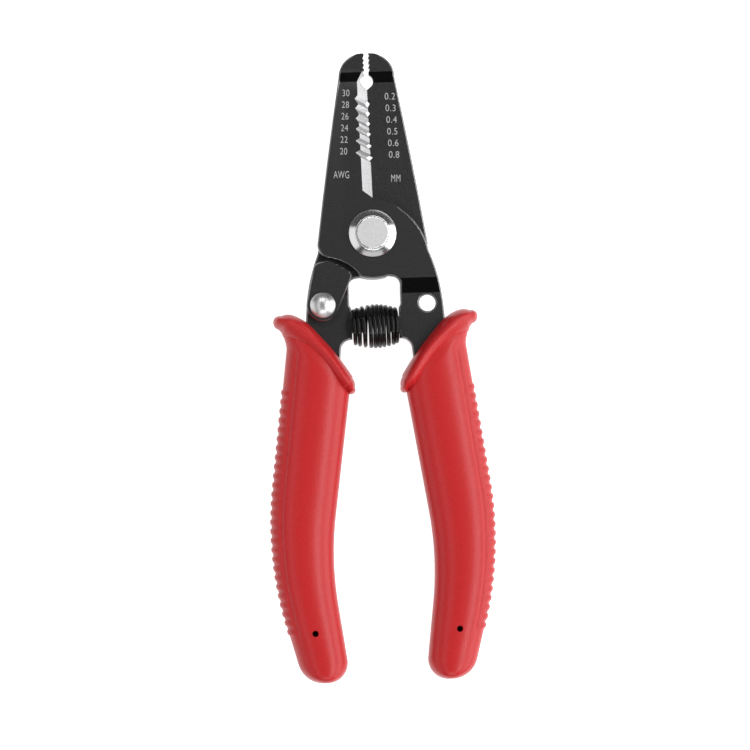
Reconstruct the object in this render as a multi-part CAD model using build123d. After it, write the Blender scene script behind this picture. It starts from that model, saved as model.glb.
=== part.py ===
"""Precision wire stripper, 30 to 20 gauge, lying flat with its nose along +Y.

Two identical steel stampings are riveted together, one turned over on the other. Each has a
jaw, a hub, a shank and a tang that carries a moulded grip. Sizes are in millimetres. The
outlines are drawn about the pivot, and the finished tool is then moved so that the origin is
the centre of its footprint on the table.
"""
import math
import os

from build123d import *

# Stamping thickness and running gaps
plate_thickness = 2.5
hub_gap = 0.05
head_gap = 0.03
pin_clearance = 0.05

# How far cutting shapes reach past the metal
cut_margin = 3.0

# Jaw, measured up from the pivot
nose_top = 49.3
nose_flat = 1.0
nose_gap = 1.14
nose_corner = (-5.75, 47.35)
nose_side = (-7.6, 43.0)
jaw_side = (-11.45, 20.4)
hub_side = (-14.85, -1.8)
hub_corner = (-14.6, -4.3)

# Gripping teeth on the nose
tooth_pitch = 1.3
tooth_depth = 0.4
tooth_rise = 0.35
tooth_fall = 0.9
tooth_overcut = 0.01
tooth_count = 4
tooth_start = 43.6

# Wire looping hole between the nose and the blades
loop_centre = 41.7
loop_radius = 1.75
loop_point = 39.4

# Cutting edge and its ground bevel
edge_top = 39.6
edge_bottom = 10.2
edge_overlap_top = 0.02
edge_overlap_bottom = 0.45
edge_land = 0.15
bevel_width = 2.7
bevel_end = 44.4
bevel_start_outer = 14.4

# Stripping notches: height above the pivot, depth into the edge, half width at the edge
groove_skew = 22.0
groove_reach = 4.0
groove_length = 14.0
groove_root = 0.25
notches = [
    (35.6, 0.70, 0.95),
    (33.0, 0.70, 0.90),
    (30.25, 0.72, 0.80),
    (27.4, 0.84, 0.75),
    (24.2, 1.00, 0.78),
    (20.95, 1.26, 0.85),
]

# Hub, below and right of the pivot
hub_bottom_radius = 12.2
hub_bottom_end = -72.0
hub_arc_top = (0.45, 9.6)
hub_arc_middle = (9.4, 5.2)
hub_arc_end = (15.0, -5.0)
hub_blend = 2.0

# Step that brings jaw and shank back to the middle plane
nose_step = (41.4, 44.2)
step_margin = 0.1

# Window below the hub and the seat of the spring beside it
window_drop = 0.4
window_side = 6.9
window_radius = 2.2
window_height = 8.1
seat_side = 6.4
seat_step = 1.0
seat_length = 8.3
spring_drop = 0.3

# Shank and the tang inside the grip, measured from the lower corner of the seat
shank_outer_middle = (11.1, 15.4)
shank_outer_end = (12.3, 5.4)
tang_corners = [
    ((3.0, 0.0), 2.9),
    ((3.8, -9.6), 12.0),
    ((11.5, -53.6), 40.0),
    ((10.5, -82.8), 1.8),
    ((15.0, -82.8), 1.8),
    ((18.9, -55.6), 40.0),
]

# Spring peg on each shank
peg_length = 3.4
peg_width = 4.2
peg_radius = 0.9
peg_root = 2.0

# Pivot rivet and its two bevelled collars
pivot_radius = 3.5
pivot_disc_radius = 4.3
pivot_disc_height = 0.5
collar_radius = 6.4
collar_rim = 0.4
collar_bevel_radius = 4.75
collar_height = 1.5

# Latch lever, its rivet and its friction washer
latch_direction = -126.533
latch_notch_gap = 0.75
notch_bite = 1.365
notch_angles = (82.0, 60.0)
latch_thickness = 1.8
latch_base_radius = 4.35
latch_corners = [((0.0, 9.4), 2.3), ((1.9, 9.6), 2.4), ((6.3, 7.7), 1.7)]
latch_chamfer = 0.3
latch_pin_radius = 2.2
latch_dome_radius = 3.4
latch_dome_height = 1.7
latch_tail_radius = 2.75
latch_tail_height = 1.1
latch_tail_margin = 0.05
latch_dome_rim = 0.3
latch_dome_shoulder = 0.66
latch_dome_crown = 0.3
washer_radius = 3.7
washer_thickness = 0.3

# Barrel spring, held closed
wire_diameter = 1.1
wire_sides = 8
spring_end_diameter = 9.3
spring_middle_diameter = 11.8
spring_turns = 10
spring_turn_steps = 9

# Body of the grip: corners from the lower corner of the seat, with the radius of each
grip_half_thickness = 5.6
grip_bevel = 2.6
grip_bevel_edge = 0.9
grip_corners = [
    ((0.55, -9.6), 0.0),
    ((7.9, -59.3), 87.0),
    ((3.6, -92.2), 5.5),
    ((16.2, -92.2), 7.2),
    ((25.2, -58.1), 97.0),
    ((17.1, 6.5), 0.0),
]
grip_hole = (12.9, -79.0)
grip_hole_radius = 0.85

# Rolled guard round the mouth of the grip, measured in the same way
guard_half_thickness = 6.5
guard_bevel = 1.1
guard_corners = [
    ((0.3, -15.2), 1.4),
    ((-1.1, -10.0), 4.5),
    ((13.6, 7.6), 8.0),
    ((21.5, 7.4), 1.9),
    ((20.6, 3.9), 1.5),
    ((16.4, 0.2), 0.0),
    ((12.4, -0.6), 0.0),
    ((3.0, -12.9), 4.0),
]

# Ribbed band down the outer edge of the grip
rib_pitch = 2.5
rib_crest = 0.9
rib_foot = 1.7
rib_height = 0.45
rib_count = 27
rib_start = 19.2
band_proud = 0.06
band_depth = 3.0
band_half_height = 4.1


def polar(centre, radius, degrees):
    """Return a point at a radius and direction from a centre."""
    angle = math.radians(degrees)
    return (centre[0] + radius * math.cos(angle), centre[1] + radius * math.sin(angle))


# Places that follow from the sizes above
latch_reach = max(math.hypot(*centre) + radius for centre, radius in latch_corners)
notch_radius = latch_reach + latch_notch_gap
latch_centre = polar((0, 0), hub_bottom_radius + notch_radius - notch_bite, latch_direction)
hub_end = polar((0, 0), hub_bottom_radius, hub_bottom_end)
window_top = hub_end[1] - window_drop
seat_top = window_top - window_height
seat_bottom = seat_top - seat_length
spring_height = (seat_top + seat_bottom) / 2 - spring_drop
shank_step_high = -hub_bottom_radius - step_margin
shank_step_low = latch_centre[1] + latch_tail_radius + latch_tail_margin


def nearest(shape, point):
    """Return the vertex of a flat outline that lies nearest to a point."""
    return shape.vertices().sort_by_distance(Vector(*point))[0]


def at_seat(point):
    """Return a point that is measured from the lower corner of the spring seat."""
    return (seat_side + point[0], seat_bottom + point[1])


def rounded_shape(corners):
    """Return the flat shape of a polygon with a radius at each corner, or none where it is 0."""
    outline = Polygon(*[at_seat(point) for point, radius in corners], align=None)
    for point, radius in corners:
        if radius:
            outline = fillet(nearest(outline, at_seat(point)), radius)
    return outline


def crossing(centre_a, radius_a, centre_b, radius_b):
    """Return the crossing of two circles that lies to the right of a line from b to a."""
    dx = centre_a[0] - centre_b[0]
    dy = centre_a[1] - centre_b[1]
    span = math.hypot(dx, dy)
    along = (radius_b**2 - radius_a**2 + span**2) / (2 * span)
    across = math.sqrt(radius_b**2 - along**2)
    return (
        centre_b[0] + (along * dx + across * dy) / span,
        centre_b[1] + (along * dy - across * dx) / span,
    )


def stamping_outline():
    """Return the flat outline of one stamping, seen from the front."""
    notch_start = polar(latch_centre, notch_radius, notch_angles[0])
    notch_middle = polar(latch_centre, notch_radius, notch_angles[1])
    hub_start = crossing((0, 0), hub_bottom_radius, latch_centre, notch_radius)
    half_gap = nose_gap / 2
    tang = [at_seat(point) for point, radius in tang_corners]
    shank_end = at_seat(shank_outer_end)
    with BuildSketch() as sketch:
        with BuildLine():
            Line((-half_gap, nose_top), (-half_gap - nose_flat, nose_top))
            ThreePointArc((-half_gap - nose_flat, nose_top), nose_corner, nose_side)
            ThreePointArc(nose_side, jaw_side, hub_side)
            ThreePointArc(hub_side, hub_corner, notch_start)
            ThreePointArc(notch_start, notch_middle, hub_start)
            ThreePointArc(hub_start, (0, -hub_bottom_radius), hub_end)
            Line(hub_end, (window_side, window_top))
            Line((window_side, window_top), (window_side, seat_top + seat_step))
            Line((window_side, seat_top + seat_step), (seat_side, seat_top))
            Line((seat_side, seat_top), (seat_side, seat_bottom))
            Polyline((seat_side, seat_bottom), *tang, shank_end)
            ThreePointArc(shank_end, at_seat(shank_outer_middle), hub_arc_end)
            ThreePointArc(hub_arc_end, hub_arc_middle, hub_arc_top)
            Line(hub_arc_top, (edge_overlap_bottom, edge_bottom))
            Line((edge_overlap_bottom, edge_bottom), (edge_overlap_top, edge_top))
            Line((edge_overlap_top, edge_top), (-half_gap, loop_centre))
            Line((-half_gap, loop_centre), (-half_gap, nose_top))
        make_face()
        fillet(nearest(sketch, hub_start), hub_blend)
        fillet(nearest(sketch, (window_side, window_top)), window_radius)
        for point, radius in tang_corners:
            fillet(nearest(sketch, at_seat(point)), radius)
    return sketch.sketch


def loop_hole():
    """Return the teardrop hole that both jaws share."""
    reach = loop_centre - loop_point
    half = math.degrees(math.acos(loop_radius / reach))
    left = polar((0, loop_centre), loop_radius, -90 - half)
    right = polar((0, loop_centre), loop_radius, -90 + half)
    drop = Polygon((0, loop_point), right, (0, loop_centre), left, align=None)
    return Pos(0, loop_centre) * Circle(loop_radius) + drop


def tooth_gaps(phase):
    """Return the notches between the gripping teeth on the edge of the nose."""
    gaps = Sketch()
    for index in range(tooth_count):
        low = tooth_start + (index + phase) * tooth_pitch
        edge = -nose_gap / 2
        gaps += Polygon(
            (edge + tooth_overcut, low),
            (edge + tooth_overcut, low + tooth_pitch * tooth_fall),
            (edge - tooth_depth, low + tooth_pitch * tooth_rise),
            align=None,
        )
    return gaps


def side_profile():
    """Return the folded strip seen from the side: hub layer in front, nose and tang midway."""
    front = hub_gap / 2 + plate_thickness
    back = hub_gap / 2
    middle = plate_thickness / 2
    top = nose_top + cut_margin
    end = seat_bottom + min(point[1] for point, radius in tang_corners) - cut_margin
    with BuildSketch(Plane.YZ) as sketch:
        with BuildLine():
            Polyline(
                (top, middle),
                (nose_step[1], middle),
                (nose_step[0], front),
                (shank_step_high, front),
                (shank_step_low, middle),
                (end, middle),
                (end, -middle),
                (shank_step_low, -middle),
                (shank_step_high, back),
                (nose_step[0], back),
                (nose_step[1], -middle),
                (top, -middle),
                close=True,
            )
        make_face()
    return sketch.sketch


def bevel_cutter():
    """Return the wedge that grinds the front of the cutting edge down to a thin land."""
    low = hub_gap / 2 + edge_land
    high = hub_gap / 2 + plate_thickness
    slope = bevel_width / (plate_thickness - edge_land)
    with BuildSketch(Plane.XZ) as wedge:
        with BuildLine():
            Polyline(
                (0, low),
                (-bevel_width - cut_margin * slope, high + cut_margin),
                (cut_margin, high + cut_margin),
                (cut_margin, low),
                close=True,
            )
        make_face()
    reach = bevel_end - hub_arc_top[1] + cut_margin
    solid = Pos(0, bevel_end, 0) * extrude(wedge.sketch, reach)
    lean = math.degrees(math.atan2(edge_overlap_bottom - edge_overlap_top, edge_top - edge_bottom))
    solid = Pos(edge_overlap_bottom, edge_bottom, 0) * Rot(0, 0, lean) * Pos(0, -edge_bottom, 0) * solid
    with BuildSketch() as field:
        with BuildLine():
            Polyline(
                hub_arc_top,
                (cut_margin, hub_arc_top[1]),
                (cut_margin, bevel_end),
                (-bevel_width - cut_margin, bevel_end),
                (-bevel_width - cut_margin, bevel_start_outer),
                close=True,
            )
        make_face()
    limits = extrude(field.sketch, high + cut_margin)
    return solid & limits


def groove_cutter(height, depth, half_width):
    """Return the bar of V section that grinds one stripping notch across the bevel."""
    run = bevel_width
    rise = plate_thickness - edge_land
    share = (edge_top - height) / (edge_top - edge_bottom)
    edge = edge_overlap_top + share * (edge_overlap_bottom - edge_overlap_top)
    along = Vector(-run, run * math.tan(math.radians(groove_skew)), rise).normalized()
    outward = Vector(rise, 0, run).normalized()
    below_bevel = depth * outward.X
    root = Vector(edge - depth, height, hub_gap / 2)
    section = Polygon(
        (0, 0),
        (cut_margin * half_width, cut_margin * below_bevel),
        (-cut_margin * half_width, cut_margin * below_bevel),
        align=None,
    )
    section = fillet(nearest(section, (0, 0)), groove_root)
    start = Plane(origin=root - along * groove_reach, x_dir=outward.cross(along), z_dir=along)
    return extrude(start * section, groove_length, dir=along)


def stamping(phase):
    """Return one finished stamping in the front position."""
    outline = stamping_outline() - loop_hole() - tooth_gaps(phase)
    tall = 2 * plate_thickness
    peg_field = Rectangle(peg_length + peg_root, peg_width)
    peg_field = fillet(peg_field.vertices().group_by(Axis.X)[0], peg_radius)
    peg_at = seat_side + (peg_root - peg_length) / 2
    outline += Pos(peg_at, spring_height) * peg_field
    outline -= Circle(pivot_radius + pin_clearance)
    outline -= Pos(-latch_centre[0], latch_centre[1]) * Circle(latch_pin_radius + pin_clearance)
    blank = Pos(0, 0, -tall) * extrude(outline, 2 * tall)
    box = outline.bounding_box()
    half_width = max(-box.min.X, box.max.X) + cut_margin
    strip = extrude(side_profile(), half_width, both=True)
    plate = blank & strip
    plate -= bevel_cutter()
    for height, depth, width in notches:
        plate -= groove_cutter(height, depth, width)
    return plate


def turned_over(shape):
    """Return a shape turned half a turn about the long axis of the tool."""
    return Rot(0, 180, 0) * shape


def pivot_rivet():
    """Return the rivet on which both stampings turn, headed at both ends."""
    seat = hub_gap / 2 + plate_thickness + head_gap
    low = seat + collar_height
    top = low + pivot_disc_height
    with BuildSketch(Plane.XZ) as sketch:
        with BuildLine():
            Polyline(
                (0, 0),
                (pivot_radius, 0),
                (pivot_radius, low),
                (pivot_disc_radius, low),
                (pivot_disc_radius, top),
                (0, top),
                close=True,
            )
        make_face()
    half = revolve(sketch.sketch, Axis.Z)
    return half + turned_over(half)


def pivot_collar():
    """Return the bevelled collar under the front head of the rivet."""
    seat = hub_gap / 2 + plate_thickness + head_gap
    bore = pivot_radius + pin_clearance
    with BuildSketch(Plane.XZ) as sketch:
        with BuildLine():
            Polyline(
                (bore, seat),
                (collar_radius, seat),
                (collar_radius, seat + collar_rim),
                (collar_bevel_radius, seat + collar_height),
                (bore, seat + collar_height),
                close=True,
            )
        make_face()
    return revolve(sketch.sketch, Axis.Z)


def latch():
    """Return the latch lever, whose end stands against the notch in the hub."""
    low = plate_thickness / 2 + washer_thickness
    rounds = [Circle(latch_base_radius)]
    for centre, radius in latch_corners:
        rounds.append(Pos(*centre) * Circle(radius))
    lever = make_hull([edge for disc in rounds for edge in disc.edges()])
    body = extrude(lever - Circle(latch_pin_radius + pin_clearance), latch_thickness)
    rim = body.faces().sort_by(Axis.Z)[-1].outer_wire().edges()
    body = chamfer(rim, latch_chamfer)
    return Pos(latch_centre[0], latch_centre[1], low) * body


def latch_rivet():
    """Return the domed rivet that carries the latch."""
    low = -plate_thickness / 2
    seat = plate_thickness / 2 + washer_thickness + latch_thickness + head_gap
    rim = seat + latch_dome_rim
    top = seat + latch_dome_height
    sphere = (latch_dome_radius**2 + (top - rim) ** 2) / (2 * (top - rim))
    spread = math.degrees(math.asin(latch_dome_radius / sphere))
    shoulder = polar((0, top - sphere), sphere, 90 - spread * latch_dome_shoulder)
    crown = polar((0, top - sphere), sphere, 90 - spread * latch_dome_crown)
    with BuildSketch(Plane.XZ) as sketch:
        with BuildLine():
            Polyline(
                (0, crown[1]),
                (0, low - latch_tail_height),
                (latch_tail_radius, low - latch_tail_height),
                (latch_tail_radius, low),
                (latch_pin_radius, low),
                (latch_pin_radius, seat),
                (latch_dome_radius, seat),
                (latch_dome_radius, rim),
                shoulder,
                crown,
                close=True,
            )
        make_face()
    return Pos(*latch_centre) * revolve(sketch.sketch, Axis.Z)


def latch_washer():
    """Return the thin washer that holds the latch by friction."""
    ring = Circle(washer_radius) - Circle(latch_pin_radius + pin_clearance)
    return Pos(*latch_centre, plate_thickness / 2) * extrude(ring, washer_thickness)


def wire_section(turn):
    """Return the section of the spring wire after a number of turns from the left seat."""
    half_length = seat_side - wire_diameter / 2
    share = turn / spring_turns
    end_radius = (spring_end_diameter - wire_diameter) / 2
    middle_radius = (spring_middle_diameter - wire_diameter) / 2
    radius = end_radius + (middle_radius - end_radius) * math.sin(math.pi * share)
    angle = 2 * math.pi * turn
    radial = Vector(0, math.cos(angle), math.sin(angle))
    along = Vector(0, -math.sin(angle), math.cos(angle))
    centre = radial * radius + Vector(half_length * (2 * share - 1), spring_height, 0)
    return Plane(origin=centre, x_dir=radial, z_dir=along) * RegularPolygon(wire_diameter / 2, wire_sides)


def return_spring():
    """Return the barrel spring between the two shanks, as straight steps round each turn."""
    steps = spring_turns * spring_turn_steps
    sections = [wire_section(index / spring_turn_steps) for index in range(steps + 1)]
    return loft(sections, ruled=True)


def outer_edge():
    """Return the line and arc of the outer edge of the grip, from the guard downwards."""
    waist, radius = grip_corners[4]
    mouth = Vector(*at_seat(grip_corners[5][0]))
    bulge = Vector(*at_seat(waist))
    end = Vector(*at_seat(grip_corners[3][0]))
    up = (mouth - bulge).normalized()
    down = (end - bulge).normalized()
    reach = radius * math.tan((math.pi - math.radians(up.get_angle(down))) / 2)
    straight = Line(mouth, bulge + up * reach)
    bend = TangentArc(bulge + up * reach, bulge + down * reach, tangent=-up)
    return Wire([straight, bend, Line(bulge + down * reach, end)])


def rib_band():
    """Return the scalloped band of ribs that stands on the outer edge of the grip."""
    edge = outer_edge()
    points = []
    for index in range(rib_count):
        middle = rib_start + index * rib_pitch
        for along, proud in (
            (-rib_foot / 2, band_proud),
            (-rib_crest / 2, band_proud + rib_height),
            (rib_crest / 2, band_proud + rib_height),
            (rib_foot / 2, band_proud),
        ):
            share = (middle + along) / edge.length
            tangent = edge % share
            points.append(edge @ share + Vector(-tangent.Y, tangent.X) * proud)
    inward = Vector(-band_depth, 0)
    points += [points[-1] + inward, points[0] + inward]
    band = Polygon(*[(point.X, point.Y) for point in points], align=None)
    return extrude(band, band_half_height, both=True)


def bevelled_prism(outline, half_thickness, bevel):
    """Return a flat shape made thick about the middle plane, with its long edges bevelled."""
    prism = extrude(outline, half_thickness, both=True)
    return chamfer(prism.faces().filter_by(Axis.Z).edges(), bevel)


def grip_body():
    """Return the body of a grip, its long edges broken twice so that they come close to round."""
    body = bevelled_prism(rounded_shape(grip_corners), grip_half_thickness, grip_bevel)
    level = grip_half_thickness - grip_bevel
    flat_edges = body.faces().filter_by(Axis.Z).edges()
    side_edges = [edge for edge in body.edges() if math.isclose(abs(edge.center().Z), level, abs_tol=1e-4)]
    return chamfer([*flat_edges, *side_edges], grip_bevel_edge)


def grip(plate):
    """Return the right-hand grip, moulded round the tang of its stamping."""
    guard = bevelled_prism(rounded_shape(guard_corners), guard_half_thickness, guard_bevel)
    hole = Pos(*at_seat(grip_hole), 0) * Cylinder(grip_hole_radius, 4 * grip_half_thickness)
    return grip_body() + rib_band() + guard - hole - plate


def build():
    """Return every piece by the name of its node, about the pivot."""
    front = stamping(0.0)
    rear = turned_over(stamping(0.5))
    pieces = {
        "front_plate": front,
        "rear_plate": rear,
        "pivot_rivet": pivot_rivet(),
        "front_collar": pivot_collar(),
        "rear_collar": turned_over(pivot_collar()),
        "latch": latch(),
        "latch_rivet": latch_rivet(),
        "latch_washer": latch_washer(),
        "return_spring": return_spring(),
        "right_grip": grip(front),
        "left_grip": turned_over(grip(turned_over(rear))),
    }
    return pieces


def main():
    pieces = build()
    bounds = Compound(list(pieces.values())).bounding_box()
    footprint = Pos(-bounds.center().X, -bounds.center().Y, -bounds.min.Z)
    print("pivot at", [round(value, 4) for value in footprint.position])
    os.makedirs("parts", exist_ok=True)
    for name, shape in pieces.items():
        export_step(footprint * shape, f"parts/{name}.step")


main()
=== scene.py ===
"""Looks of the wire stripper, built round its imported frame.

Sizes are in millimetres from the middle of the pivot unless a line says otherwise: X to the
right, Y towards the nose and Z out of the front face.
"""

import math

import bmesh
import bpy
from mathutils import Matrix, Vector


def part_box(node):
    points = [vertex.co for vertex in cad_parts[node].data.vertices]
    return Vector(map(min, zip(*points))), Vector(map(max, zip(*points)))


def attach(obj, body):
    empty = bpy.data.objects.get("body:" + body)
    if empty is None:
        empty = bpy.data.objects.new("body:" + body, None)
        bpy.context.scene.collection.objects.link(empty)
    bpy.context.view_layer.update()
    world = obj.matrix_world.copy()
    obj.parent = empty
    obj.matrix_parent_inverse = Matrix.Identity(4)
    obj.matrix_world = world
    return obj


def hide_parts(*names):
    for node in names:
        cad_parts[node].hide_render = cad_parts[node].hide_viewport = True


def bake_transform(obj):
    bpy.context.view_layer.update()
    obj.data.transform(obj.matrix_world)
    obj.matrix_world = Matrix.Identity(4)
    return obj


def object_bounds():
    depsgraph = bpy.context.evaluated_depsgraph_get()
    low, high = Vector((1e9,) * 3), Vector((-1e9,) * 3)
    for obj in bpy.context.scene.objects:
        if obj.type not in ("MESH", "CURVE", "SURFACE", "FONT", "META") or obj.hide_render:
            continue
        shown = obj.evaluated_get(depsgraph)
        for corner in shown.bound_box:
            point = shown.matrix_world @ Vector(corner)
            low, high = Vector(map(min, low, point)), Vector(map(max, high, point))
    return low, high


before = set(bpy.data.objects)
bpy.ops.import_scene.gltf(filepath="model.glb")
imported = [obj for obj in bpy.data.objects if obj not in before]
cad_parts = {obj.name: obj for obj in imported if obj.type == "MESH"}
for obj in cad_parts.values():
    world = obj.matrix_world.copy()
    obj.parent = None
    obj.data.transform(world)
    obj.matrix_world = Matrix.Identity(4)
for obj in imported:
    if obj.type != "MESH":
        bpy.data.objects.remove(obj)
bounds_at_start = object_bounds()

# Scale and the places that come from the frame
MM = 0.001
rivet_low, rivet_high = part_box("pivot_rivet")
PIVOT = (rivet_low + rivet_high) / 2
spring_low, spring_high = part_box("return_spring")
spring_centre = (spring_low + spring_high) / 2
spring_half_length = (spring_high.x - spring_low.x) / 2 / MM
spring_y = (spring_centre.y - PIVOT.y) / MM
lever_rivet_low, lever_rivet_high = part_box("latch_rivet")
lever_rivet_centre = (lever_rivet_low + lever_rivet_high) / 2
lever_rivet_x = (lever_rivet_centre.x - PIVOT.x) / MM
lever_rivet_y = (lever_rivet_centre.y - PIVOT.y) / MM
floor_z = bounds_at_start[0].z

# Right spring seat: the grips are measured from its lower corner
seat_length = 8.3
seat_rise = 0.3
seat_x = spring_half_length
seat_y = spring_y + seat_rise - seat_length / 2

# Finish: gaps under which points are one, turn under which faces are one, gap of a running fit
same_point = 0.001
same_point_after = 0.002
same_face_degrees = 0.3
clearance = 0.05

# Levels of a face, from 0 where it is upright to 1 where it is square to the pivot
flat_level = 0.95
ring_lip_level = 0.93
bevel_levels = (0.05, 0.98)
notch_level = 0.3
# fold_level and fold_lean find the folded bands, which get painted shade
fold_level = 0.8
fold_lean = 0.2
wall_level = 0.5
upright_level = 0.05

# Grain: how fine its noise is, and where between its two shades the noise turns
grain_detail = 3
grain_levels = (0.4, 0.66)

# Stampings
plate_front = 2.525
plate_back = 0.025
edge_round = 0.46
edge_segments = 3
blade_reach = 3.5
blade_side = 1.0
blade_low = 7.2
blade_high = 44.7
blade_above_back = 0.02
notch_reach = 1.2
notch_high = 40.5
# Material indices of a stamping; the folded bands take the painted shade
FACE, SHADED_FOLD, GROUND, EDGE = range(4)

# Pivot rivet and rings
rivet_half_height = (rivet_high.z - PIVOT.z) / MM
rivet_shank = 3.5
rivet_head = 4.35
rivet_head_depth = 0.5
rivet_head_edge = 0.22
rivet_head_turn = (0.08, 0.07)
rivet_head_rim = 0.06
ring_bore = 4.38
ring_outer = 6.42
ring_rim = 0.4
ring_crest = 4.62
ring_height = 1.5
ring_seat = 2.56
ring_step = 0.52
ring_rim_edge = 0.1
ring_rim_rise = 0.02
ring_crest_turns = ((0.14, 0.1), (0.04, 0.04), (-0.1, 0.0))
ring_bore_edge = 0.03

# Lever rivet and washer
dome_radius = 3.4
dome_height = 1.7
dome_rim = 0.25
dome_edge = 0.05
dome_seat = 3.38
dome_steps = 14
lever_pin = 2.2
lever_tail = 2.75
lever_tail_low = -2.35
lever_tail_edge = 0.3
washer_radius = 3.7
washer_low = 1.25
washer_high = 1.55
washer_edge = 0.05

# Barrel spring: where each turn passes the front, from left to right
turn_places = (-5.84, -4.72, -3.3, -1.65, -0.45, 0.72, 1.88, 3.1, 4.4, 5.6)
wire_radius = 0.56
spring_sag = 0.55
spring_end_radius = 4.2
spring_middle_radius = 5.5
turn_steps = 32
wire_sides = 12

# Grip body: each corner from the lower corner of the spring seat, and its radius
grip_inner = [((0.7, -10.8), 0), ((7.9, -59.3), 87), ((3.6, -92.2), 5.5), ((9.6, -92.2), 0)]
grip_outer = [
    ((17.6, 3.9), 0),
    ((18.7, 2.0), 1.5),
    ((17.75, -1.6), 5),
    ((25.2, -58.1), 97),
    ((16.2, -92.2), 7.1),
    ((9.6, -92.2), 0),
]
grip_half_thickness = 5.6
grip_fullness = 2.3
grip_end_half_width = 5.6
grip_stations = 430
grip_tip_half_width = 0.01
mouth_thinning = 0.3
mouth_thinning_reach = 1.4
grip_hole = (12.9, -79.0)
grip_hole_radius = 0.85
grip_hole_reach = 9.0

# Ribbed band on the outer edge of the grip
rib_first = 18.2
rib_count = 27
rib_pitch = 2.5
rib_crest = 0.7
rib_foot = 2.0
rib_height = 0.42
rib_half_length = 4.2
rib_end_fade = 1.6
band_top = 5.0
band_tail = 2.0
band_fade = 1.5
band_side = 0.4
band_groove = 4.35
band_groove_width = 0.3
band_groove_depth = 0.2

# Heights of the points of the grip's section on its outer edge, closer together at the groove
edge_heights = (0.0, 1.0, 2.0, 3.0, 3.7, 4.0, 4.13, 4.21, 4.28, 4.35, 4.42, 4.49, 4.57, 4.75)
section_steps = 26

# Rolled guard: the place of its ridge, its reach above and below it, and its half height
guard_path = [
    (0.7, -13.75, 1.1, 1.3, 4.5),
    (1.4, -12.5, 1.9, 1.95, 5.75),
    (2.7, -11.0, 2.55, 2.6, 6.35),
    (6.6, -4.9, 2.3, 3.4, 6.45),
    (10.8, -0.3, 2.6, 3.7, 6.45),
    (14.1, 2.7, 2.9, 4.3, 6.4),
    (17.2, 4.7, 2.6, 3.6, 5.9),
    (19.4, 5.3, 1.6, 2.1, 4.9),
]
guard_fullness = 1.75
guard_cap = 0.85
guard_cap_steps = 7
guard_cap_degrees = 89
guard_sides = 48

# Printed gauges: first and last place of each column, and the unit below it
awg_marks = ("30", "28", "26", "24", "22", "20")
awg_first = (-5.83, 38.3)
awg_last = (-7.01, 22.45)
awg_unit_place = (-7.79, 16.08)
awg_width = 0.76
mm_marks = ("0.2", "0.3", "0.4", "0.5", "0.6", "0.8")
mm_first = (6.19, 37.45)
mm_last = (6.72, 21.5)
mm_unit_place = (6.95, 15.02)
mm_width = 0.88
mark_height = 2.62
unit_height = 2.85
unit_width = 0.6
mark_relief = 0.012
mark_thinning = 0.02
mark_spacing = 1.08

# View: the camera turned a little, so that the tool leans in the frame, and tilted two ways
view_turn = math.radians(-1.9)
view_centre = (-0.65, -38.1)
view_tilt_back = math.radians(5.0)
view_tilt_left = math.radians(2.5)
view_width = 202.0
view_distance = 1100.0

# Studio: the floor's reach and its gap under the tool in metres, and the levels of light
floor_reach = 12.0
floor_gap = 0.0002
floor_shade = 0.8
floor_glow = 0.9
lamp_watts = 4.0
world_level = 0.07


def place(x, y, z=0.0):
    """Return a place in the scene from millimetres about the pivot."""
    return PIVOT + Vector((x, y, z)) * MM


def at_seat(point):
    """Return a point that is measured from the lower corner of the spring seat."""
    return Vector((seat_x + point[0], seat_y + point[1]))


# Materials


def new_material(name, colour, metallic, roughness):
    """Return a material and its main shader node."""
    material = bpy.data.materials.new(name)
    material.use_nodes = True
    shader = material.node_tree.nodes["Principled BSDF"]
    shader.inputs["Base Color"].default_value = (*colour, 1)
    shader.inputs["Metallic"].default_value = metallic
    shader.inputs["Roughness"].default_value = roughness
    return material, shader


def add_grain(material, shader, size, depth, shades=None):
    """Roughen a material with a fine grain of a size and depth, and speckle it in two shades."""
    tree = material.node_tree
    place_node = tree.nodes.new("ShaderNodeTexCoord")
    noise = tree.nodes.new("ShaderNodeTexNoise")
    noise.inputs["Scale"].default_value = 1 / (size * MM)
    noise.inputs["Detail"].default_value = grain_detail
    bump = tree.nodes.new("ShaderNodeBump")
    bump.inputs["Distance"].default_value = depth * MM
    bump.inputs["Strength"].default_value = 1.0
    tree.links.new(place_node.outputs["Object"], noise.inputs["Vector"])
    tree.links.new(noise.outputs["Fac"], bump.inputs["Height"])
    tree.links.new(bump.outputs["Normal"], shader.inputs["Normal"])
    if shades:
        ramp = tree.nodes.new("ShaderNodeValToRGB")
        for stop, level, shade in zip(ramp.color_ramp.elements, grain_levels, shades):
            stop.position = level
            stop.color = (*shade, 1)
        tree.links.new(noise.outputs["Fac"], ramp.inputs["Fac"])
        tree.links.new(ramp.outputs["Color"], shader.inputs["Base Color"])


def black_face():
    """Black oxide on the flats of the stampings and the lever: satin, with a light speckle."""
    material, shader = new_material("black_oxide_face", (0.006, 0.006, 0.006), 0.0, 0.42)
    add_grain(material, shader, 0.3, 0.004, ((0.008, 0.008, 0.008), (0.024, 0.024, 0.0245)))
    return material


def painted_fold_shade():
    """Black oxide where the steel is folded, darker and duller: painted shade for the dark look
    of the sloped bands.
    """
    material, shader = new_material("black_oxide_painted_fold_shade", (0.0015, 0.0015, 0.0015), 0.0, 0.5)
    shader.inputs["Specular IOR Level"].default_value = 0.05
    add_grain(material, shader, 0.3, 0.003)
    return material


def black_edge():
    """Black oxide on the rounded edges and the washer, polished by tumbling."""
    material, shader = new_material("black_oxide_edge", (0.21, 0.21, 0.212), 1.0, 0.28)
    add_grain(material, shader, 0.5, 0.002)
    return material


def ground_steel():
    """Bare steel of the ground cutting edges."""
    material, shader = new_material("ground_steel", (0.55, 0.55, 0.56), 1.0, 0.5)
    add_grain(material, shader, 0.22, 0.006, ((0.46, 0.46, 0.465), (0.64, 0.64, 0.65)))
    return material


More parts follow.
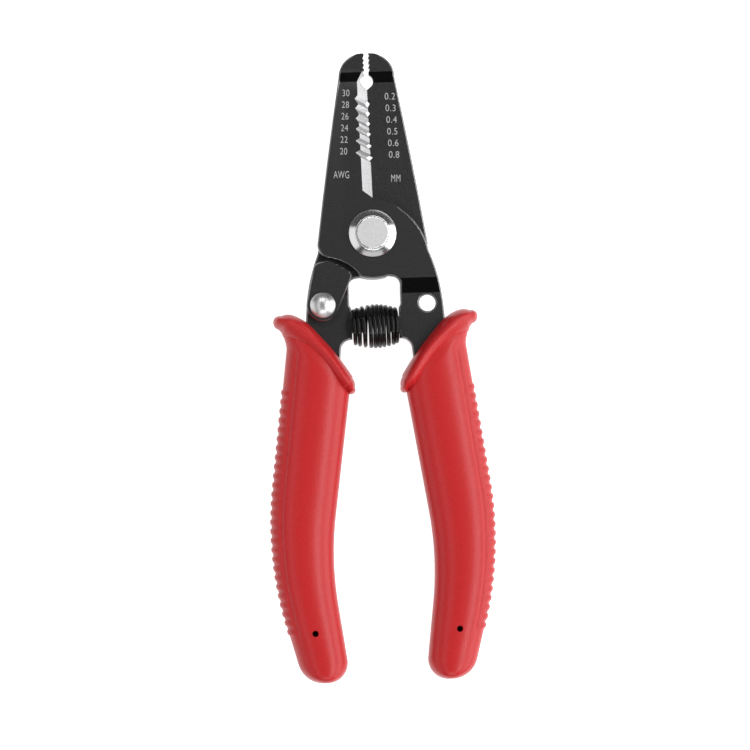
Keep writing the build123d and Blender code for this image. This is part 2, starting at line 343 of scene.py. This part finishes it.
def satin_steel():
    """Satin plated steel of the pivot head and of the lips of its rings."""
    material, shader = new_material("satin_steel", (0.84, 0.84, 0.84), 1.0, 0.5)
    add_grain(material, shader, 0.35, 0.003, ((0.79, 0.79, 0.79), (0.88, 0.88, 0.88)))
    return material


def polished_steel():
    """Bright plated steel of the rings' cones and the rim of the pivot head."""
    material, shader = new_material("polished_steel", (0.8, 0.8, 0.805), 1.0, 0.2)
    add_grain(material, shader, 1.2, 0.001)
    return material


def rivet_steel():
    """Tumbled plated steel of the lever rivet."""
    material, shader = new_material("rivet_steel", (0.76, 0.76, 0.765), 1.0, 0.36)
    add_grain(material, shader, 0.8, 0.002)
    return material


def spring_wire():
    """Glossy black spring wire."""
    material, shader = new_material("black_wire", (0.003, 0.003, 0.003), 0.0, 0.3)
    shader.inputs["Specular IOR Level"].default_value = 0.08
    shader.inputs["Coat Weight"].default_value = 0.45
    shader.inputs["Coat Roughness"].default_value = 0.08
    add_grain(material, shader, 0.6, 0.002)
    return material


def red_vinyl():
    """Red moulded grips with the fine grain of the mould."""
    material, shader = new_material("red_vinyl", (0.6, 0.018, 0.021), 0.0, 0.36)
    shader.inputs["Specular IOR Level"].default_value = 0.45
    add_grain(material, shader, 0.45, 0.012, ((0.57, 0.016, 0.019), (0.63, 0.021, 0.024)))
    return material


def label_ink():
    """Pale grey printing of the gauges."""
    material, shader = new_material("label_ink", (0.54, 0.54, 0.54), 0.0, 0.6)
    add_grain(material, shader, 0.4, 0.002)
    return material


MATERIALS = {
    "face": black_face(),
    # painted shade of the folded bands
    "fold_shade": painted_fold_shade(),
    "edge": black_edge(),
    "ground": ground_steel(),
    "satin": satin_steel(),
    "polished": polished_steel(),
    "rivet": rivet_steel(),
    "wire": spring_wire(),
    "vinyl": red_vinyl(),
    "ink": label_ink(),
}


# Making pieces and hanging them on their bodies


def add_piece(name, mesh, materials, body=None, replaced=()):
    """Put a mesh in the scene as one piece of the object."""
    piece = bpy.data.objects.new(name, mesh)
    bpy.context.scene.collection.objects.link(piece)
    painted = [face.material_index for face in mesh.polygons]
    mesh.materials.clear()
    for key in materials:
        mesh.materials.append(MATERIALS[key])
    mesh.polygons.foreach_set("material_index", painted)
    if replaced:
        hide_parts(*replaced)
    if body:
        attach(piece, body)
    return piece


def mesh_from(name, points, faces, sharp_degrees=35):
    """Return a mesh from millimetre points, smooth but for its sharper edges."""
    mesh = bpy.data.meshes.new(name)
    mesh.from_pydata([place(*point) for point in points], [], faces)
    tidy(mesh, sharp_degrees)
    return mesh


def drop_normals(mesh):
    """Drop the shading normals that came with a mesh, so that they follow its new faces."""
    if "custom_normal" in mesh.attributes:
        mesh.attributes.remove(mesh.attributes["custom_normal"])


def tidy(mesh, sharp_degrees):
    """Merge doubled points, turn the faces outwards and shade the mesh smooth."""
    drop_normals(mesh)
    work = bmesh.new()
    work.from_mesh(mesh)
    bmesh.ops.remove_doubles(work, verts=work.verts, dist=same_point_after * MM)
    bmesh.ops.recalc_face_normals(work, faces=work.faces)
    work.to_mesh(mesh)
    work.free()
    mesh.polygons.foreach_set("use_smooth", [True] * len(mesh.polygons))
    mesh.set_sharp_from_angle(angle=math.radians(sharp_degrees))


def rings_to_faces(ring_count, ring_size):
    """Return the faces between rings of points, with the two ends capped."""
    faces = []
    for ring in range(ring_count - 1):
        here = ring * ring_size
        there = here + ring_size
        for index in range(ring_size):
            after = (index + 1) % ring_size
            faces.append((here + index, here + after, there + after, there + index))
    faces.append(tuple(reversed(range(ring_size))))
    faces.append(tuple(range((ring_count - 1) * ring_size, ring_count * ring_size)))
    return faces


def paint_flats(mesh, level):
    """Give the faces square to the pivot the first material, and the rest the second."""
    painted = [0 if abs(face.normal.z) > level else 1 for face in mesh.polygons]
    mesh.polygons.foreach_set("material_index", painted)


def lathe(name, profile, centre=(0.0, 0.0), steps=112, closed=False):
    """Return a mesh turned from a profile of radius and height, closed or open on the axis."""
    points = []
    for step in range(steps):
        angle = 2 * math.pi * step / steps
        for radius, height in profile:
            x = centre[0] + radius * math.cos(angle)
            y = centre[1] + radius * math.sin(angle)
            points.append((x, y, height))
    count = len(profile)
    faces = []
    for step in range(steps):
        here = step * count
        there = (step + 1) % steps * count
        for index in range(count if closed else count - 1):
            after = (index + 1) % count
            faces.append((here + index, there + index, there + after, here + after))
    return mesh_from(name, points, faces, 30)


# Stampings


def as_front(vector, side):
    """Return a vector turned over where it is on the rear stamping, whose side is -1."""
    return Vector((vector.x * side, vector.y, vector.z * side))


def stamping_paint(centre, normal):
    """Return the material index of a face of a stamping, seen as the front one."""
    level = abs(normal.z)
    on_blade = -blade_reach < centre.x < blade_side and blade_low < centre.y < blade_high
    slanted = bevel_levels[0] < normal.z < bevel_levels[1]
    bevelled = slanted and centre.z > plate_back + blade_above_back
    notched = level < notch_level and centre.x > -notch_reach and centre.y < notch_high
    if on_blade and (bevelled or notched):
        return GROUND
    # Folded bands take the darker material, which is painted shade
    if abs(normal.y) > fold_lean and level > fold_level:
        return SHADED_FOLD
    return EDGE if level < wall_level else FACE


def is_rounded(edge, side):
    """Tell whether an edge lies between a flat and a wall, away from the cutting edge."""
    levels = [abs(face.normal.z) for face in edge.link_faces]
    if len(levels) != 2 or max(levels) <= fold_level or min(levels) >= upright_level:
        return False
    middle = as_front((edge.verts[0].co + edge.verts[1].co) / 2 - PIVOT, side) / MM
    return middle.x <= -blade_reach or middle.y <= blade_low


def finish_stamping(node, name, body, side):
    """Return a stamping with its edges rounded and its blade ground bright."""
    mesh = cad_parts[node].data.copy()
    drop_normals(mesh)
    work = bmesh.new()
    work.from_mesh(mesh)
    bmesh.ops.remove_doubles(work, verts=work.verts, dist=same_point * MM)
    turn = math.radians(same_face_degrees)
    bmesh.ops.dissolve_limit(work, angle_limit=turn, verts=work.verts, edges=work.edges)
    work.normal_update()
    weight = work.edges.layers.float.new("bevel_weight_edge")
    for face in work.faces:
        centre = as_front((face.calc_center_median() - PIVOT) / MM, side)
        face.material_index = stamping_paint(centre, as_front(face.normal, side))
        face.smooth = True
    for edge in work.edges:
        if is_rounded(edge, side):
            edge[weight] = 1.0
    work.to_mesh(mesh)
    work.free()
    mesh.set_sharp_from_angle(angle=math.radians(30))
    # The second material is the painted shade of the folded bands
    materials = ("face", "fold_shade", "ground", "edge")
    piece = add_piece(name, mesh, materials, body, (node,))
    bevel = piece.modifiers.new("rounded_edges", "BEVEL")
    bevel.limit_method = "WEIGHT"
    bevel.width = edge_round * MM
    bevel.segments = edge_segments
    bevel.material = EDGE
    bevel.use_clamp_overlap = False
    bevel.harden_normals = True
    return piece


def finish_lever():
    """Return the latch lever with a lighter line along its edge."""
    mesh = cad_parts["latch"].data.copy()
    tidy(mesh, 25)
    paint_flats(mesh, flat_level)
    materials = ("face", "edge")
    return add_piece("lock_lever", mesh, materials, "latch_lever", ("latch",))


# Rivets, rings and washer


def pivot_head():
    """Return the pivot rivet: a shank between two flat satin heads."""
    top = rivet_half_height
    low = ring_seat + ring_height - rivet_head_depth
    half = [
        (rivet_shank, 0.0),
        (rivet_shank, low),
        (rivet_head, low),
        (rivet_head, top - rivet_head_edge),
        (rivet_head - rivet_head_turn[0], top - rivet_head_turn[1]),
        (rivet_head - rivet_head_edge, top),
        (rivet_head - rivet_head_edge - rivet_head_rim, top),
        (0.0, top),
    ]
    profile = [(radius, -height) for radius, height in reversed(half[1:])] + half
    mesh = lathe("pivot_head", profile)
    paint_flats(mesh, flat_level)
    materials = ("satin", "polished")
    replaced = ("pivot_rivet",)
    return add_piece("pivot_head", mesh, materials, "left_arm", replaced)


def pivot_ring(name, side, node):
    """Return the cone-faced ring round one head of the pivot, with its satin lip."""
    top = ring_seat + ring_height
    profile = [
        (rivet_shank + clearance, ring_seat),
        (ring_outer, ring_seat),
        (ring_outer, ring_seat + ring_rim - ring_rim_edge),
        (ring_outer - ring_rim_edge, ring_seat + ring_rim + ring_rim_rise),
        *[(ring_crest + out, top - down) for out, down in ring_crest_turns],
        (ring_bore + ring_bore_edge, top),
        (ring_bore, top - ring_bore_edge),
        (ring_bore, top - ring_step),
        (rivet_shank + clearance, top - ring_step),
    ]
    mesh = lathe(name, [(radius, side * height) for radius, height in profile], closed=True)
    paint_flats(mesh, ring_lip_level)
    materials = ("satin", "polished")
    return add_piece(name, mesh, materials, "left_arm", (node,))


def lever_rivet():
    """Return the domed rivet of the lever, with its tail at the back."""
    rise = dome_height - dome_rim
    sphere = (dome_radius**2 + rise**2) / (2 * rise)
    spread = math.asin(dome_radius / sphere)
    profile = [
        (0.0, lever_tail_low),
        (lever_tail - lever_tail_edge, lever_tail_low),
        (lever_tail, lever_tail_low + lever_tail_edge),
        (lever_tail, -washer_low),
        (lever_pin, -washer_low),
        (lever_pin, dome_seat),
        (dome_radius - dome_edge, dome_seat),
        (dome_radius, dome_seat + dome_edge),
    ]
    for step in range(dome_steps + 1):
        angle = spread * (1 - step / dome_steps)
        height = dome_seat + dome_height - sphere * (1 - math.cos(angle))
        profile.append((sphere * math.sin(angle), height))
    mesh = lathe("lever_rivet", profile, (lever_rivet_x, lever_rivet_y))
    replaced = ("latch_rivet",)
    return add_piece("lever_rivet", mesh, ("rivet",), "left_arm", replaced)


def lever_washer():
    """Return the friction washer under the lever."""
    profile = [
        (lever_pin + clearance, washer_low),
        (washer_radius, washer_low),
        (washer_radius, washer_high - washer_edge),
        (washer_radius - washer_edge, washer_high),
        (lever_pin + clearance, washer_high),
    ]
    mesh = lathe("lever_washer", profile, (lever_rivet_x, lever_rivet_y), closed=True)
    replaced = ("latch_washer",)
    return add_piece("lever_washer", mesh, ("edge",), "left_arm", replaced)


# Spring


def turn_place(turn):
    """Return how far along the spring the wire is after some turns, with its ends closed."""
    turn = min(len(turn_places) - 1.0, max(0.0, turn))
    index = min(int(turn), len(turn_places) - 2)
    share = turn - index
    return turn_places[index] + share * (turn_places[index + 1] - turn_places[index])


def barrel_spring():
    """Return the barrel spring between the two arms, as a fixed mesh that does not lengthen as
    they open.
    """
    turns = len(turn_places)
    swell = spring_middle_radius - spring_end_radius
    count = turns * turn_steps
    points = []
    for step in range(count + 1):
        turn = step / turn_steps - 0.5
        share = (turn + 0.5) / turns
        radius = spring_end_radius + swell * math.sin(math.pi * share)
        angle = 2 * math.pi * turn + math.pi / 2
        radial = Vector((0, math.cos(angle), math.sin(angle)))
        middle = radial * radius + Vector((turn_place(turn), spring_y - spring_sag, 0))
        for side in range(wire_sides):
            around = 2 * math.pi * side / wire_sides
            outward = radial * math.cos(around) + Vector((math.sin(around), 0, 0))
            points.append(tuple(middle + outward * wire_radius))
    mesh = mesh_from("barrel_spring", points, rings_to_faces(count + 1, wire_sides))
    piece = add_piece("barrel_spring", mesh, ("wire",), None, ("return_spring",))
    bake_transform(piece)
    return piece


# Grips


def rounded_chain(corners, step_degrees=1.5):
    """Return points along straight runs joined by arcs of the given radii."""
    places = [at_seat(point) for point, radius in corners]
    chain = [places[0]]
    for index in range(1, len(places) - 1):
        corner = places[index]
        radius = corners[index][1]
        back = (places[index - 1] - corner).normalized()
        ahead = (places[index + 1] - corner).normalized()
        half = back.angle(ahead) / 2
        reach = radius / math.tan(half)
        centre = corner + (back + ahead).normalized() * (radius / math.sin(half))
        start = corner + back * reach - centre
        sweep = start.angle_signed(corner + ahead * reach - centre)
        steps = max(2, int(abs(math.degrees(sweep)) / step_degrees))
        for step in range(steps + 1):
            turn = Matrix.Rotation(-sweep * step / steps, 2)
            chain.append(centre + turn @ start)
    chain.append(places[-1])
    return chain


def chain_lengths(chain):
    """Return the distance along a chain at each of its points."""
    lengths = [0.0]
    for before, after in zip(chain, chain[1:]):
        lengths.append(lengths[-1] + (after - before).length)
    return lengths


def along_chain(chain, lengths, distance):
    """Return the point of a chain at a distance along it."""
    index = 0
    while index < len(lengths) - 2 and lengths[index + 1] < distance:
        index += 1
    span = lengths[index + 1] - lengths[index]
    share = (distance - lengths[index]) / span if span else 0.0
    return chain[index].lerp(chain[index + 1], min(1.0, max(0.0, share)))


def smooth_share(value):
    """Return a value between 0 and 1 eased at both ends."""
    value = min(1.0, max(0.0, value))
    return value * value * (3 - 2 * value)


def rib_rise(distance):
    """Return the height of the ribs at a distance along the outer edge."""
    index = round((distance - rib_first) / rib_pitch)
    index = min(rib_count - 1, max(0, index))
    offset = abs(distance - rib_first - index * rib_pitch)
    return rib_height * smooth_share((rib_foot / 2 - offset) / ((rib_foot - rib_crest) / 2))


def section_shape():
    """Return the grip's section as shares of its half width and half thickness."""
    shape = []
    for height in edge_heights:
        share = height / grip_half_thickness
        shape.append(((1 - share**grip_fullness) ** (1 / grip_fullness), share))
    begin = math.asin(shape[-1][1] ** (grip_fullness / 2))
    for step in range(1, section_steps + 1):
        angle = begin + (math.pi - begin) * step / section_steps
        across = math.copysign(abs(math.cos(angle)) ** (2 / grip_fullness), math.cos(angle))
        shape.append((across, max(0.0, math.sin(angle)) ** (2 / grip_fullness)))
    return shape + [(across, -rise) for across, rise in reversed(shape[1:-1])]


def grip_body_mesh():
    """Return the body of the right grip with its ribbed band and the groove beside it."""
    inner = rounded_chain(grip_inner)
    outer = rounded_chain(grip_outer)
    inner_lengths = chain_lengths(inner)
    outer_lengths = chain_lengths(outer)
    shape = section_shape()
    band_end = rib_first + (rib_count - 1) * rib_pitch + band_tail
    points = []
    for station in range(grip_stations):
        share = station / (grip_stations - 1)
        distance = share * outer_lengths[-1]
        near = along_chain(inner, inner_lengths, share * inner_lengths[-1])
        far = along_chain(outer, outer_lengths, distance)
        middle = (near + far) / 2
        across = far - near
        half_width = across.length / 2
        direction = across.normalized() if half_width > grip_tip_half_width else Vector((1, 0))
        taper = min(1.0, half_width / grip_end_half_width)
        thickness = grip_half_thickness * math.sqrt(1 - (1 - taper) ** 2)
        thickness -= mouth_thinning * math.exp(-((distance / mouth_thinning_reach / 2) ** 2))
        in_band = smooth_share((distance - band_top) / band_fade)
        in_band *= smooth_share((band_end - distance) / band_fade)
        for over, rise in shape:
            height = rise * thickness
            reach = over * half_width
            if over > band_side:
                level = abs(rise) * grip_half_thickness
                along_rib = smooth_share((rib_half_length - level) / rib_end_fade)
                reach += in_band * rib_rise(distance) * along_rib
                dip = max(0.0, 1 - abs(level - band_groove) / band_groove_width)
                reach -= in_band * band_groove_depth * dip
                height -= math.copysign(in_band * band_groove_depth * dip, rise)
            spot = middle + direction * reach
            points.append((spot.x, spot.y, height))
    return mesh_from("grip_body", points, rings_to_faces(grip_stations, len(shape)))


def smooth_path(rows, steps=10):
    """Return rows between the given ones, on a smooth curve through them."""
    path = []
    for index in range(len(rows) - 1):
        before = Vector(rows[max(0, index - 1)])
        start = Vector(rows[index])
        end = Vector(rows[index + 1])
        after = Vector(rows[min(len(rows) - 1, index + 2)])
        for step in range(steps):
            t = step / steps
            row = (2 * start + (end - before) * t) / 2
            row += (2 * before - 5 * start + 4 * end - after) * t * t / 2
            row += (3 * start - before - 3 * end + after) * t**3 / 2
            path.append(row)
    path.append(Vector(rows[-1]))
    return path


def guard_mesh():
    """Return the rolled guard round the mouth of the right grip."""
    path = smooth_path(guard_path)
    rings = []
    for index, row in enumerate(path):
        before = path[max(0, index - 1)]
        after = path[min(len(path) - 1, index + 1)]
        tangent = Vector((after[0] - before[0], after[1] - before[1])).normalized()
        rings.append((at_seat(row), tangent, row[2], row[3], row[4]))
    for end, way in ((rings[0], -1), (rings[-1], 1)):
        spot, tangent, above, below, height = end
        cap = []
        for step in range(1, guard_cap_steps + 1):
            angle = math.radians(guard_cap_degrees) * step / guard_cap_steps
            shrink = math.cos(angle)
            shift = tangent * way * max(above, below) * guard_cap * math.sin(angle)
            cap.append((spot + shift, tangent, above * shrink, below * shrink, height * shrink))
        rings = cap[::-1] + rings if way < 0 else rings + cap
    points = []
    for spot, tangent, above, below, height in rings:
        across = Vector((-tangent.y, tangent.x))
        for side in range(guard_sides):
            angle = 2 * math.pi * side / guard_sides
            over = math.copysign(abs(math.cos(angle)) ** (2 / guard_fullness), math.cos(angle))
            rise = math.copysign(abs(math.sin(angle)) ** (2 / guard_fullness), math.sin(angle))
            point = spot + across * over * (above if over > 0 else below)
            points.append((point.x, point.y, height * rise))
    return mesh_from("grip_guard", points, rings_to_faces(len(rings), guard_sides))


def hole_mesh():
    """Return the round bar that cuts the small hole through the grip."""
    centre = at_seat(grip_hole)
    radius = grip_hole_radius
    reach = grip_hole_reach
    profile = [(0.0, -reach), (radius, -reach), (radius, reach), (0.0, reach)]
    return lathe("grip_hole", profile, (centre.x, centre.y), steps=32)


def combine(mesh, others):
    """Return a mesh joined with others or cut by them, given as pairs of mesh and operation."""
    scene = bpy.context.scene.collection
    piece = bpy.data.objects.new("work", mesh)
    scene.objects.link(piece)
    helpers = []
    for other, operation in others:
        helper = bpy.data.objects.new("helper", other)
        scene.objects.link(helper)
        helpers.append(helper)
        modifier = piece.modifiers.new(operation.lower(), "BOOLEAN")
        modifier.object = helper
        modifier.operation = operation
        modifier.solver = "EXACT"
    graph = bpy.context.evaluated_depsgraph_get()
    result = bpy.data.meshes.new_from_object(piece.evaluated_get(graph))
    for helper in [piece, *helpers]:
        bpy.data.objects.remove(helper)
    return result


def grips():
    """Add the two grips. The left one is the right one turned over."""
    mesh = combine(grip_body_mesh(), [(guard_mesh(), "UNION"), (hole_mesh(), "DIFFERENCE")])
    tidy(mesh, 38)
    add_piece("right_handle", mesh, ("vinyl",), "right_arm", ("right_grip",))
    turned = mesh.copy()
    half_turn = Matrix.Rotation(math.pi, 4, "Y")
    turned.transform(Matrix.Translation(PIVOT) @ half_turn @ Matrix.Translation(-PIVOT))
    add_piece("left_handle", turned, ("vinyl",), "left_arm", ("left_grip",))


# Printed gauges


def add_mark(name, words, spot, level, body, size, width):
    """Add one printed mark, lying on a stamping."""
    curve = bpy.data.curves.new(name, "FONT")
    curve.body = words
    curve.size = size * MM
    curve.align_x = "CENTER"
    curve.align_y = "CENTER"
    curve.extrude = mark_relief * MM
    curve.offset = -mark_thinning * MM
    curve.space_character = mark_spacing
    helper = bpy.data.objects.new("work", curve)
    bpy.context.scene.collection.objects.link(helper)
    graph = bpy.context.evaluated_depsgraph_get()
    mesh = bpy.data.meshes.new_from_object(helper.evaluated_get(graph))
    bpy.data.objects.remove(helper)
    narrow = Matrix.Diagonal((width, 1, 1, 1))
    turn = Matrix.Rotation(view_turn, 4, "Z")
    mesh.transform(Matrix.Translation(place(*spot, level)) @ turn @ narrow)
    add_piece(name, mesh, ("ink",), body)


def printed_marks():
    """Add the gauge numbers and their units on both jaws."""
    awg = ("awg", awg_marks, awg_first, awg_last, awg_width, awg_unit_place)
    mm = ("mm", mm_marks, mm_first, mm_last, mm_width, mm_unit_place)
    columns = ((*awg, plate_front, "right_arm"), (*mm, -plate_back, "left_arm"))
    for unit, marks, first, last, width, unit_place, level, body in columns:
        for index, mark in enumerate(marks):
            spot = Vector(first).lerp(Vector(last), index / (len(marks) - 1))
            add_mark(f"{unit}_mark_{index + 1}", mark, spot, level, body, mark_height, width)
        add_mark(f"{unit}_unit", unit.upper(), unit_place, level, body, unit_height, unit_width)


# Studio


def floor_material():
    """Return a white that glows for what sees it directly or mirrored, and takes the shadow."""
    material = bpy.data.materials.new("studio_floor")
    material.use_nodes = True
    tree = material.node_tree
    tree.nodes.clear()
    output = tree.nodes.new("ShaderNodeOutputMaterial")
    paint = tree.nodes.new("ShaderNodeBsdfDiffuse")
    paint.inputs["Color"].default_value = (floor_shade, floor_shade, floor_shade, 1)
    glow = tree.nodes.new("ShaderNodeEmission")
    path = tree.nodes.new("ShaderNodeLightPath")
    seen = path.outputs["Is Camera Ray"]
    for ray in ("Is Glossy Ray", "Is Transmission Ray"):
        either = tree.nodes.new("ShaderNodeMath")
        either.operation = "MAXIMUM"
        tree.links.new(seen, either.inputs[0])
        tree.links.new(path.outputs[ray], either.inputs[1])
        seen = either.outputs[0]
    level = tree.nodes.new("ShaderNodeMath")
    level.operation = "MULTIPLY"
    level.inputs[1].default_value = floor_glow
    total = tree.nodes.new("ShaderNodeAddShader")
    tree.links.new(seen, level.inputs[0])
    tree.links.new(level.outputs[0], glow.inputs["Strength"])
    tree.links.new(paint.outputs[0], total.inputs[0])
    tree.links.new(glow.outputs[0], total.inputs[1])
    tree.links.new(total.outputs[0], output.inputs["Surface"])
    return material


def add_floor():
    """Add the white floor, which keeps the shadow of the tool."""
    mesh = bpy.data.meshes.new("floor")
    corners = [(-1, -1), (1, -1), (1, 1), (-1, 1)]
    points = [(x * floor_reach, y * floor_reach, floor_z - floor_gap) for x, y in corners]
    mesh.from_pydata(points, [], [(0, 1, 2, 3)])
    mesh.materials.append(floor_material())
    floor = bpy.data.objects.new("floor", mesh)
    bpy.context.scene.collection.objects.link(floor)


def add_lamp(name, spot, size, brightness):
    """Add a soft lamp that faces the tool, by its place and size in metres and its brightness."""
    lamp = bpy.data.lights.new(name, "AREA")
    lamp.shape = "RECTANGLE"
    lamp.size = size[0]
    lamp.size_y = size[1]
    lamp.energy = brightness * size[0] * size[1] * lamp_watts
    holder = bpy.data.objects.new(name, lamp)
    target = place(*view_centre)
    holder.location = target + Vector(spot)
    holder.rotation_euler = (target - holder.location).to_track_quat("-Z", "Y").to_euler()
    bpy.context.scene.collection.objects.link(holder)


def add_lamps():
    """Add the soft lamps at the sides, the narrow ones above that draw lines, and a dim world."""
    add_lamp("right_key", (1.15, -0.1, 0.45), (1.5, 0.75), 2.1)
    add_lamp("left_fill", (-1.15, -0.1, 0.45), (1.5, 0.7), 0.72)
    add_lamp("near_fill", (0.0, -1.3, 0.5), (1.6, 0.5), 0.5)
    add_lamp("right_strip", (0.6, 0.0, 1.0), (1.2, 0.22), 5.2)
    add_lamp("left_strip", (-0.55, 0.0, 1.05), (1.2, 0.2), 1.5)
    add_lamp("far_strip", (0.0, 0.85, 1.0), (0.9, 0.14), 6.0)
    add_lamp("near_strip", (0.0, -0.85, 1.0), (0.9, 0.14), 6.0)
    world = bpy.data.worlds.new("studio")
    world.use_nodes = True
    background = world.node_tree.nodes["Background"]
    background.inputs["Color"].default_value = (1, 1, 1, 1)
    background.inputs["Strength"].default_value = world_level
    bpy.context.scene.world = world


def add_camera():
    """Add the camera, above the tool and tilted a little back and to the left."""
    camera = bpy.data.cameras.new("camera")
    camera.sensor_width = 36.0
    camera.lens = camera.sensor_width * view_distance / view_width
    holder = bpy.data.objects.new("camera", camera)
    turn = Matrix.Rotation(view_turn, 3, "Z")
    turn = turn @ Matrix.Rotation(view_tilt_back, 3, "X")
    turn = turn @ Matrix.Rotation(-view_tilt_left, 3, "Y")
    holder.location = place(*view_centre) + turn @ Vector((0, 0, view_distance * MM))
    holder.rotation_euler = turn.to_euler()
    bpy.context.scene.collection.objects.link(holder)
    bpy.context.scene.camera = holder


def main():
    """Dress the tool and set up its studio."""
    finish_stamping("front_plate", "front_stamping", "right_arm", 1)
    finish_stamping("rear_plate", "rear_stamping", "left_arm", -1)
    finish_lever()
    pivot_head()
    pivot_ring("front_ring", 1, "front_collar")
    pivot_ring("rear_ring", -1, "rear_collar")
    lever_rivet()
    lever_washer()
    barrel_spring()
    grips()
    printed_marks()
    add_floor()
    add_lamps()
    add_camera()
    bpy.context.scene.view_settings.view_transform = "Standard"
    bpy.context.view_layer.update()


main()
